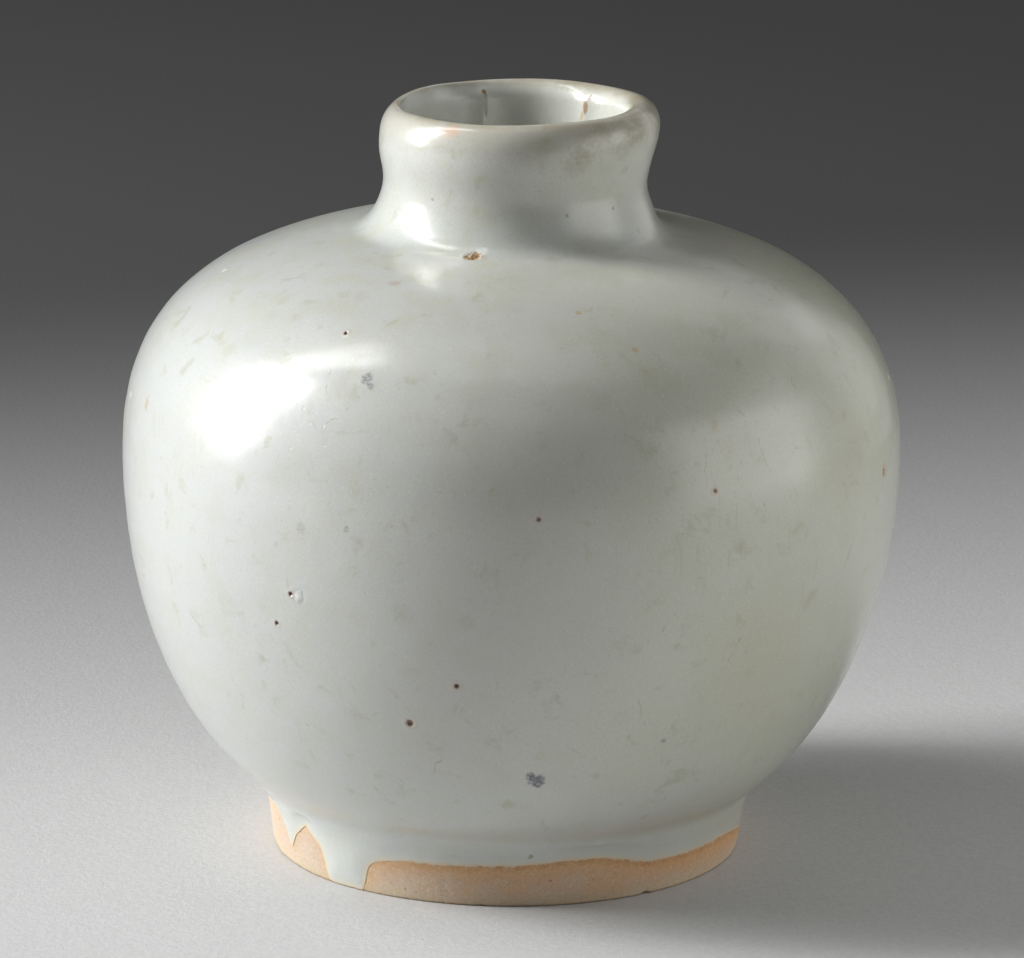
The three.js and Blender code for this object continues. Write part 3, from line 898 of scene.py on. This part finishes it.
CHIP_BURNT = colour(0.20, 0.11, 0.05)

FOOT_CLAY = colour(0.68, 0.455, 0.295)
FOOT_BEIGE = colour(0.64, 0.51, 0.39)
BODY_CLAY = colour(0.66, 0.47, 0.34)
BODY_BEIGE = colour(0.63, 0.49, 0.37)
SLIP = colour(0.58, 0.42, 0.31)
SLIP_BEIGE = colour(0.52, 0.40, 0.30)
PALE_LIT_CLAY = colour(0.61, 0.505, 0.41)
WARM_CLAY = colour(0.69, 0.39, 0.185)
WORN_CLAY = colour(0.60, 0.51, 0.36)
FLASHED_CLAY = colour(0.64, 0.41, 0.18)
BURNT_CLAY = colour(0.42, 0.21, 0.08)
CONTACT_SHADE_CLAY = colour(0.20, 0.14, 0.09)
FRAYED_GLAZE = colour(0.68, 0.62, 0.48)
DARK_SAND = colour(0.46, 0.26, 0.15)
PALE_SAND = colour(0.84, 0.70, 0.56)
OCHRE_SAND = colour(0.70, 0.50, 0.22)
IRON_SPECK = colour(0.16, 0.08, 0.05)

PAPER = colour(0.59, 0.59, 0.59)
PAPER_FIBRE = colour(0.65, 0.65, 0.65)
PAPER_PAINTED_SHADE = colour(0.058, 0.058, 0.058)

THREAD_WIDTH = 0.17
# Squares of the radii between which the painted light in the bore comes in
BORE_SQUARES = (235, 205)

# Colour spots, one of them a painted highlight: azimuth, height, radius, flattening, colour and how
# strong
SPOTS = [
    (-75.8, 77.8, 0.6, 1, OCHRE, 0.7), (-65.6, 71.1, 4.0, 1, OLIVE, 0.16),
    (-44.6, 75.5, 2.6, 1, OLIVE, 0.15), (-32.8, 74.3, 2.4, 1, OLIVE, 0.15),
    (-58.4, 65.7, 0.8, 0.4, OCHRE, 0.25), (-57.0, 62.9, 1.4, 1, PINK_HALO, 0.25),
    (-141.5, 76.5, 1.1, 1, OLIVE, 0.2), (-134.5, 75.6, 1.0, 1, OLIVE, 0.22),
    (-124.5, 78.2, 1.6, 1, OLIVE, 0.18),
    (-67.7, 74.2, 0.6, 1, OCHRE, 0.6), (-74.0, 73, 0.9, 2, KHAKI, 0.6),
    (-160.0, 61.7, 0.8, 0.7, OCHRE, 0.55), (-119.9, 79.5, 1.2, 3, RUST, 0.3),
    # A painted highlight: the white glint right of the chip at the neck's root
    (-101.2, 82.3, 1.1, 2.2, PAINTED_GLINT, 0.9),
    (-86.1, 21.1, 0.9, 1.2, BLUE_SMUDGE, 0.85), (-85.1, 20.6, 1.4, 1.1, BLUE_SMUDGE, 0.9),
    (-84.7, 19.9, 0.9, 1, BLUE_SMUDGE, 0.9),
    (-113.6, 70.9, 1.0, 0.8, BLUE_SMUDGE, 0.6), (-112.6, 70.2, 0.6, 1, BLUE_SMUDGE, 0.5),
    (-113.6, 53.4, 0.6, 1, BLUE_SMUDGE, 0.4), (-120.9, 52.7, 0.9, 1, BLUE_SMUDGE, 0.22),
    (-64.3, 25.2, 0.5, 1, BLUE_SMUDGE, 0.5), (-84.3, 7, 0.5, 1, OLIVE_SPECK, 0.7),
    (-59.9, 58, 0.85, 1, PINK_HALO, 0.5), (-128.9, 78.1, 1.4, 2.0, OLIVE, 0.22),
    (-140.4, 75.1, 1.6, 1.5, OLIVE, 0.16), (-143.5, 71, 1.5, 1, OLIVE, 0.18),
    (-105.1, 43.1, 1.8, 1, OLIVE, 0.16), (-96.0, 42.6, 1.3, 1, OLIVE, 0.2),
    (-135.6, 40.4, 2.2, 1, OLIVE, 0.14), (-104.8, 35.5, 1.8, 2, OLIVE, 0.14),
    (-50.9, 33.2, 1.2, 1, OLIVE, 0.16), (-52.5, 72.8, 3.2, 1, OLIVE, 0.14),
    (-39.5, 68.6, 3.0, 1, OLIVE, 0.14), (-76.4, 69.3, 2.2, 1, OLIVE, 0.14),
    (-19.5, 54.1, 1.0, 0.75, OCHRE, 0.95), (-127.8, 87.7, 0.3, 1, BLUE_SMUDGE, 0.5),
    (-66.9, 86.3, 0.3, 1, BLUE_SMUDGE, 0.55), (-42.7, 86.5, 0.3, 1, BLUE_SMUDGE, 0.6),
    (-29.4, 83.0, 0.5, 1, OLIVE, 0.6), (-62.0, 93.8, 0.4, 1, STAIN, 0.6),
    (-65.2, 93.1, 0.25, 1, STAIN, 0.6), (-44.0, 95.0, 0.3, 1, STAIN, 0.5),
    (-32.4, 80.3, 3.0, 2.0, OLIVE, 0.14), (-52.3, 80.4, 3.4, 2.4, OLIVE, 0.12),
    (42, 70.2, 0.7, 1, OCHRE, 0.5), (88, 48.2, 0.6, 1, RUST, 0.5),
    (133, 62.2, 0.9, 1.2, BLUE_SMUDGE, 0.35), (158, 27.2, 0.8, 1, BLUE_SMUDGE, 0.4),
    (15, 30.2, 0.6, 1, RUST, 0.45), (110, 76.2, 1.6, 1.5, OLIVE, 0.2),
]
# Marks in the bore, on the ridges that the knife left, in the same order
BORE_MARKS = [
    (107, 96.4, 0.36, 0.8, RUST, 0.95), (106, 95.0, 0.34, 0.14, BORE_SCRATCH, 0.6),
    (48, 95.2, 0.5, 0.42, BORE_RUST, 0.9), (46, 96.4, 0.34, 0.5, RUST, 0.7),
    (50, 94.0, 0.4, 0.5, OCHRE, 0.6),
]
# Stains on the lip: azimuth, height, radius, flattening and how strong
LIP_STAINS = [
    (-62, 95.0, 3.2, 1.4, 0.6), (-50, 96.0, 3.6, 1.4, 0.75), (-34, 96.4, 3.8, 1.3, 0.7),
    (-14, 96.6, 3.8, 1.3, 0.6), (8, 97.0, 3.6, 1.4, 0.55), (32, 97.3, 3.6, 1.4, 0.5),
    (-66, 92.8, 2.8, 1.2, 0.4), (-81, 94.0, 3.6, 1.2, 0.2), (-42, 94.0, 2.4, 1.2, 0.35),
    (172, 97.6, 3.0, 1.2, 0.5), (60, 97.8, 5.0, 1.5, 0.4),
]
# Fine threads in the glaze: from azimuth and height, to azimuth and height
THREADS = [
    (-54.0, 38.4, -55.5, 35.1), (-65.8, 42.9, -67.6, 41.0), (-70.4, 32.7, -68.2, 27.8),
    (-91.3, 35.2, -92.6, 33.1), (-100.9, 23.3, -102.5, 21.0), (-39.1, 70.6, -40.3, 68.6),
    (-40.3, 68.6, -40.9, 66.7), (-53.9, 67.7, -52.6, 65.4), (-51.4, 63.6, -50.9, 61.4),
    (-50.9, 61.4, -49.8, 59.2), (-51.5, 55.5, -51.3, 52.9), (-61.0, 62.3, -60.9, 59.8),
    (-118.1, 65.5, -115.0, 67.5), (-120.5, 71.5, -119.5, 68.0), (20, 40, 22, 36), (70, 60, 71, 56),
    (130, 45, 127, 41), (165, 66, 168, 64),
]


def glaze_tones(glaze, right, broad):
    """Cooler on the left, khaki on the right, bluer where the glaze pooled, and painted shade as a dark
    olive line in the waist's crease, stronger on the right.
    """
    x, z = glaze.x, glaze.z
    glaze.wash(x.ramp(8, -38), COOL_GLAZE)
    glaze.wash(right * (0.42 + 0.35 * broad) + 0.04 * broad, KHAKI)
    pooled = z.ramp(24, 8) * 0.7 + z.ramp(80.5, 82.5) * z.ramp(88, 84) * 0.6
    glaze.wash(pooled * (1 - 0.8 * right), POOLED_GLAZE)
    # Painted shade: the waist's crease is darkened with olive, mostly on the right away from the key
    crease_shade = z.ramp(8.8, 9.7) * z.ramp(11.4, 10.0)
    glaze.wash(crease_shade * (0.02 + 0.16 * right), OLIVE)


def glaze_stains(glaze, broad, cloud, scratches, threads):
    """Small blotches, flecks, scratches, threads and specks."""
    above_foot = glaze.z.ramp(5, 13)
    blotches = glaze.grain(2.8, 3, 0.6, seed=4, distortion=0.5).ramp(0.55, 0.72)
    glaze.wash(blotches * cloud.ramp(0.40, 0.58) * above_foot * 0.42, OLIVE)
    mottle = glaze.grain(5, 5, 0.65, seed=19).ramp(0.40, 0.70)
    glaze.wash(mottle * (0.26 + 0.20 * glaze.z.ramp(60, 80)), KHAKI)
    flecks = glaze.grain(0.8, 3, 0.6, seed=5).ramp(0.64, 0.76) * cloud.ramp(0.46, 0.60)
    glaze.wash(flecks * above_foot * 0.34, OLIVE)
    glaze.wash(scratches * 0.28, OLIVE)
    glaze.wash(threads * (0.3 + 0.5 * glaze.grit), OLIVE)
    speckle = glaze.grain(0.26, 2, 0.6, seed=16)
    glaze.wash(speckle.ramp(0.58, 0.74) * (0.14 + 0.20 * broad), STAIN)
    glaze.wash(speckle.ramp(0.42, 0.28) * 0.4, WHITE_SPECK)


def glaze_lip(glaze):
    """Painted light that makes the glaze paler in the bore, thin warm glaze on the lip, and the lip's
    stains and flush.
    """
    x, y, z = glaze.x, glaze.y, glaze.z
    breaks = glaze.grain(3, 4, 0.65, seed=10)
    # Painted light: a paler glaze colour down the bore stands in for light on the neck's inside wall
    bore = (x * x + y * y).ramp(*BORE_SQUARES) * z.ramp(68, 80)
    glaze.wash(bore * 0.35, BORE_PAINTED_LIGHT)
    glaze.wash(z.ramp(92.5, 96.5) * (1 - bore) * 0.28, WARM_RIM)
    rim = z.ramp(96.6, 98.0) * breaks.ramp(0.30, 0.62)
    glaze.wash(rim * 0.7, WARM_RIM)
    broken = breaks.ramp(0.30, 0.56)
    for azimuth, height, radius, flatten, strength in LIP_STAINS:
        stain = glaze.spot(on_lip(azimuth, height), radius, ragged=0.7, flatten=flatten, soft=0.8)
        glaze.wash(stain * broken * strength, STAIN)
    flush = glaze.spot(on_lip(-121, 96.9), 2.0, ragged=0.9, flatten=1.6, soft=0.8)
    glaze.wash(flush * breaks.ramp(0.25, 0.55) * 0.7, LIP_FLUSH)


def glaze_edge(glaze):
    """Thin glaze along the lower edge. Returns how near a place is to the very edge."""
    gap = glaze.attribute("from_edge") + (glaze.grit - 0.5)
    glaze.wash(gap.ramp(1.3, 0.2) * 0.4, THIN_GLAZE)
    edge = gap.ramp(0.45, 0.05)
    glaze.wash(edge * 0.75, GLAZE_EDGE)
    return edge


def glaze_flaws(glaze):
    """Colour spots with a painted highlight among them, marks in the bore, the chip at the neck's root,
    dimples and pinholes.
    """
    speckled = 0.4 + 0.6 * glaze.grain(0.3, 2, 0.6, seed=20).ramp(0.36, 0.54)
    for azimuth, height, radius, flatten, tint, strength in SPOTS:
        mask = glaze.spot(on_glaze(azimuth, height), radius, ragged=1.2, flatten=flatten, soft=0.6)
        glaze.wash(mask * speckled * strength, tint)
    for azimuth, height, radius, flatten, tint, strength in BORE_MARKS:
        mask = glaze.spot(in_bore(azimuth, height), radius, ragged=0.6, flatten=flatten, soft=0.4)
        glaze.wash(mask * strength, tint)
    chips = [
        glaze.spot(on_glaze(azimuth, height), 1.25 * radius, ragged=1.2, soft=0.5)
        for azimuth, height, radius in ROOT_CHIP
    ]
    bare = sum(chips[1:], chips[0]) * glaze.grain(0.45, 2, 0.6, seed=17).ramp(0.28, 0.42)
    burnt = glaze.grain(0.4, 2, 0.6, seed=18).ramp(0.42, 0.60)
    glaze.wash(bare, glaze.mix(burnt, CHIP_CLAY, CHIP_BURNT))
    for azimuth, height, radius in DIMPLES:
        glaze.wash(glaze.spot(on_glaze(azimuth, height), radius * 0.8) * 0.5, WHITE_SPECK)
    for azimuth, height, radius in PINHOLES:
        centre = on_glaze(azimuth, height)
        glaze.wash(glaze.spot(centre, radius * 2.4, ragged=0.6, soft=0.7) * 0.5, PINK_HALO)
        glaze.wash(glaze.spot(centre, radius * 1.15, ragged=0.5) * 0.7, RUST)
        glaze.wash(glaze.spot(centre, radius * 0.9, ragged=0.3), IRON)


def glaze_finish():
    glaze = Surface("pale_glaze", PALE_GLAZE)
    right = glaze.x.ramp(-8, 40)
    broad = glaze.grain(22, 3, seed=2).ramp(0.3, 0.7)
    cloud = glaze.grain(7, 4, 0.6, seed=3)
    streaks = glaze.grain(0.42, 2, 0.5, shape=(1, 1, 0.07), seed=6).ramp(0.60, 0.70)
    rubbed = glaze.patch(-58, 64, 11) + glaze.patch(-50, 55, 12) + glaze.patch(-62, 50, 8)
    scratches = streaks * rubbed
    lines = [
        glaze.stroke(on_glaze(*thread[:2]), on_glaze(*thread[2:]), THREAD_WIDTH)
        for thread in THREADS
    ]
    threads = sum(lines[1:], lines[0])
    glaze_tones(glaze, right, broad)
    glaze_stains(glaze, broad, cloud, scratches, threads)
    glaze_lip(glaze)
    edge = glaze_edge(glaze)
    glaze_flaws(glaze)

    # Worn patches are duller, and the surface ripples softly and has fine pores
    scuffs = glaze.grain(2.2, 5, 0.7, seed=11).ramp(0.50, 0.70)
    scuffed = glaze.patch(-121, 68, 9) + glaze.patch(-114, 74, 5) + glaze.patch(-112, 80.6, 7)
    scuffed = scuffed + 0.35 * right + 0.15
    wear = scuffs * scuffed
    ripple = glaze.grain(12, 2, seed=12) * 0.5 + glaze.grain(2.6, 2, seed=13) * 0.14
    ripple = ripple + glaze.grain(0.7, 2, seed=15) * (0.025 + 0.04 * scuffed)
    pores = glaze.grain(0.5, 2, seed=14).ramp(0.64, 0.76) * (0.04 + 0.10 * scuffed)
    glaze.bumped(ripple - pores - scratches * 0.02 - threads * 0.03, 0.6, 0.35)
    glaze.set(
        Base_Color=glaze.tone, Roughness=0.30 + 0.06 * cloud + 0.15 * wear + 0.2 * edge,
        Coat_Weight=0.9 - 0.45 * wear - 0.5 * edge, Coat_Roughness=0.17, Coat_IOR=1.5, IOR=1.4,
    )
    return glaze.material


def foot_marks(clay, cloud):
    """Paler clay on the left as painted light where the key falls, a warm flush below the glaze, burnt
    edges, and painted contact shade along the bottom edge.
    """
    # Painted light: the foot is made paler and greyer on the left, where the key falls
    clay.wash(clay.x.ramp(-6, -24) * 0.8, PALE_LIT_CLAY)
    gap = clay.attribute("from_edge")
    flush = gap.ramp(3.0, 0.1) * (0.45 + 0.5 * cloud) + clay.x.ramp(2, 24) * 0.3
    clay.wash(flush * clay.x.ramp(-34, -8), WARM_CLAY)
    clay.wash(clay.z.ramp(2.4, 0.3) * 0.7, WORN_CLAY)
    burnt = gap.ramp(1.2, 0.1) * clay.grain(0.9, 3, 0.6, seed=7).ramp(0.3, 0.62)
    clay.wash(burnt * 0.4, FLASHED_CLAY)
    clay.wash(burnt * clay.x.ramp(-24, 4) * 0.45, BURNT_CLAY)
    # Painted shade: the bottom edge is darkened where it meets the floor
    clay.wash(clay.z.ramp(0.35, 0.05) * 0.7, CONTACT_SHADE_CLAY)
    frayed = (gap + clay.grain(0.5, 2, 0.6, seed=9) * 0.9).ramp(0.62, 0.42)
    clay.wash(frayed * 0.8, FRAYED_GLAZE)


def clay_finish(name, pale, beige, marks=None):
    clay = Surface(name, pale)
    cloud = clay.grain(6, 4, 0.6, seed=2)
    clay.wash(cloud.ramp(0.35, 0.65), beige)
    if marks:
        marks(clay, cloud)
    sand = clay.grain(0.34, 2, 0.6, seed=3)
    clay.wash(sand.ramp(0.56, 0.68) * 0.35, DARK_SAND)
    clay.wash(sand.ramp(0.44, 0.33) * 0.3, PALE_SAND)
    ochre = clay.grain(0.6, 2, 0.6, seed=8)
    clay.wash(ochre.ramp(0.56, 0.70) * 0.4, OCHRE_SAND)
    specks = clay.grain(0.8, 2, seed=4).ramp(0.73, 0.77)
    clay.wash(specks * 0.7, IRON_SPECK)
    turning = clay.grain(0.5, 3, 0.6, shape=(0.06, 0.06, 1), seed=5)
    grains = clay.grain(0.22, 3, 0.65, seed=6)
    clay.bumped(grains * 0.6 + turning * 0.4 + sand * 0.5, 0.6, 0.13)
    clay.set(Base_Color=clay.tone, Roughness=0.78 + 0.18 * cloud, IOR=1.4)
    return clay.material


coat, liner = outer_coat(), inner_liner()
ring, slip, lower = foot(), luting_ring(), base()
finish(coat, "glaze", "outer_glaze")
finish(liner, "glaze", "inner_glaze")
finish(ring, "clay", "foot_ring")
finish(lower, "clay", "lower_body")
finish(slip, "slip", "foot_luting")

glaze_material = glaze_finish()
foot_material = clay_finish("foot_clay", FOOT_CLAY, FOOT_BEIGE, foot_marks)
clay_material = clay_finish("body_clay", BODY_CLAY, BODY_BEIGE)
slip_material = clay_finish("slip", SLIP, SLIP_BEIGE)
for piece, material in (
    (coat, glaze_material), (liner, glaze_material), (ring, foot_material), (lower, clay_material),
    (slip, slip_material),
):
    piece.data.materials.clear()
    piece.data.materials.append(material)
for node in ("upper_body", "neck_collar"):
    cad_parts[node].material_slots[0].material = clay_material
for node in ("belly_luting", "neck_luting"):
    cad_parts[node].material_slots[0].material = slip_material


# Lamps round the pot: name, turn to the right and rise in degrees, distance, width and height in
# metres, and watts. The near card's three panes make its reflection fade towards its border.
LAMPS = [
    ("key_softbox", -92, 24, 1.0, 0.28, 0.70, 16.0),
    ("upper_softbox", -101, 57, 1.0, 0.20, 0.38, 1.7),
    ("near_card_centre", 70, 12, 0.27, 0.19, 0.15, 0.08),
    ("near_card", 70, 12, 0.28, 0.25, 0.21, 0.085),
    ("near_card_border", 70, 12, 0.29, 0.31, 0.27, 0.09),
    ("side_card", 132, 12, 0.31, 0.16, 0.22, 0.035),
    ("far_card", 112, 18, 1.1, 1.4, 0.95, 1.45),
    ("top_panel", 0, 88, 1.1, 0.6, 0.6, 0.52),
    ("back_panel", 160, 38, 1.1, 0.9, 0.6, 0.7),
]
LAMP_AIM = Vector((0, 0, 0.05))
WORLD_LIGHT = 0.01
FLOOR_WIDTH = 8
FLOOR_FADE = (-82, 368)


def studio_floor():
    """Pale paper with painted shade that darkens it behind the pot and to its left."""
    bpy.ops.object.select_all(action="DESELECT")
    bpy.ops.mesh.primitive_plane_add(size=FLOOR_WIDTH)
    floor = bpy.context.object
    floor.name = "floor"
    paper = Surface("paper", PAPER)
    weave = paper.grain(0.7, 4, 0.7, seed=1)
    paper.wash(weave.ramp(0.3, 0.7), PAPER_FIBRE)
    # Painted shade: the paper's colour darkens with distance, standing in for light falling off
    paper.wash((paper.y - 0.4 * paper.x).ramp(*FLOOR_FADE), PAPER_PAINTED_SHADE)
    paper.set(Base_Color=paper.tone, Roughness=0.9)
    paper.bumped(weave, 0.5, 0.15)
    floor.data.materials.append(paper.material)


def studio_lamps():
    """Tall softbox on the left, cards on the right, weak panels above and behind, a faint world."""
    for name, turn, rise, distance, wide, high, watts in LAMPS:
        lamp = bpy.data.lights.new(name, "AREA")
        lamp.shape = "RECTANGLE"
        lamp.size, lamp.size_y, lamp.energy = wide, high, watts
        light = bpy.data.objects.new(name, lamp)
        light.visible_camera = False
        bpy.context.scene.collection.objects.link(light)
        turn, rise = math.radians(turn), math.radians(rise)
        level = math.cos(rise)
        way = Vector((math.sin(turn) * level, -math.cos(turn) * level, math.sin(rise)))
        light.location = LAMP_AIM + way * distance
        light.rotation_euler = way.to_track_quat("Z", "Y").to_euler()
    world = bpy.data.worlds.new("studio")
    world.use_nodes = True
    background = world.node_tree.nodes["Background"]
    background.inputs["Color"].default_value = (1, 1, 1, 1)
    background.inputs["Strength"].default_value = WORLD_LIGHT
    bpy.context.scene.world = world


# Place of the camera in millimetres, its tilts in radians and its focal length in pixels
EYE = Vector((0.06, -774.5, 247.7))
PITCH = 0.2522
ROLL = 0.0116
FOCAL = 6182.8
IMAGE_WIDTH = 1024


def camera():
    """Camera at the photograph's place, for an image of 1024 x 958."""
    lens = bpy.data.cameras.new("camera")
    lens.sensor_width = 36
    lens.lens = FOCAL / IMAGE_WIDTH * lens.sensor_width
    lens.clip_start, lens.clip_end = 0.05, 20
    eye = bpy.data.objects.new("camera", lens)
    bpy.context.scene.collection.objects.link(eye)
    ahead = Vector((0, math.cos(PITCH), -math.sin(PITCH)))
    up = Vector((0, math.sin(PITCH), math.cos(PITCH)))
    side = Vector((1, 0, 0))
    across = math.cos(ROLL) * side + math.sin(ROLL) * up
    upright = math.cos(ROLL) * up - math.sin(ROLL) * side
    turn = Matrix((across, upright, -ahead)).transposed()
    eye.matrix_world = Matrix.Translation(EYE * MM) @ turn.to_4x4()
    bpy.context.scene.camera = eye


studio_floor()
studio_lamps()
camera()
bpy.context.scene.view_settings.view_transform = "Standard"
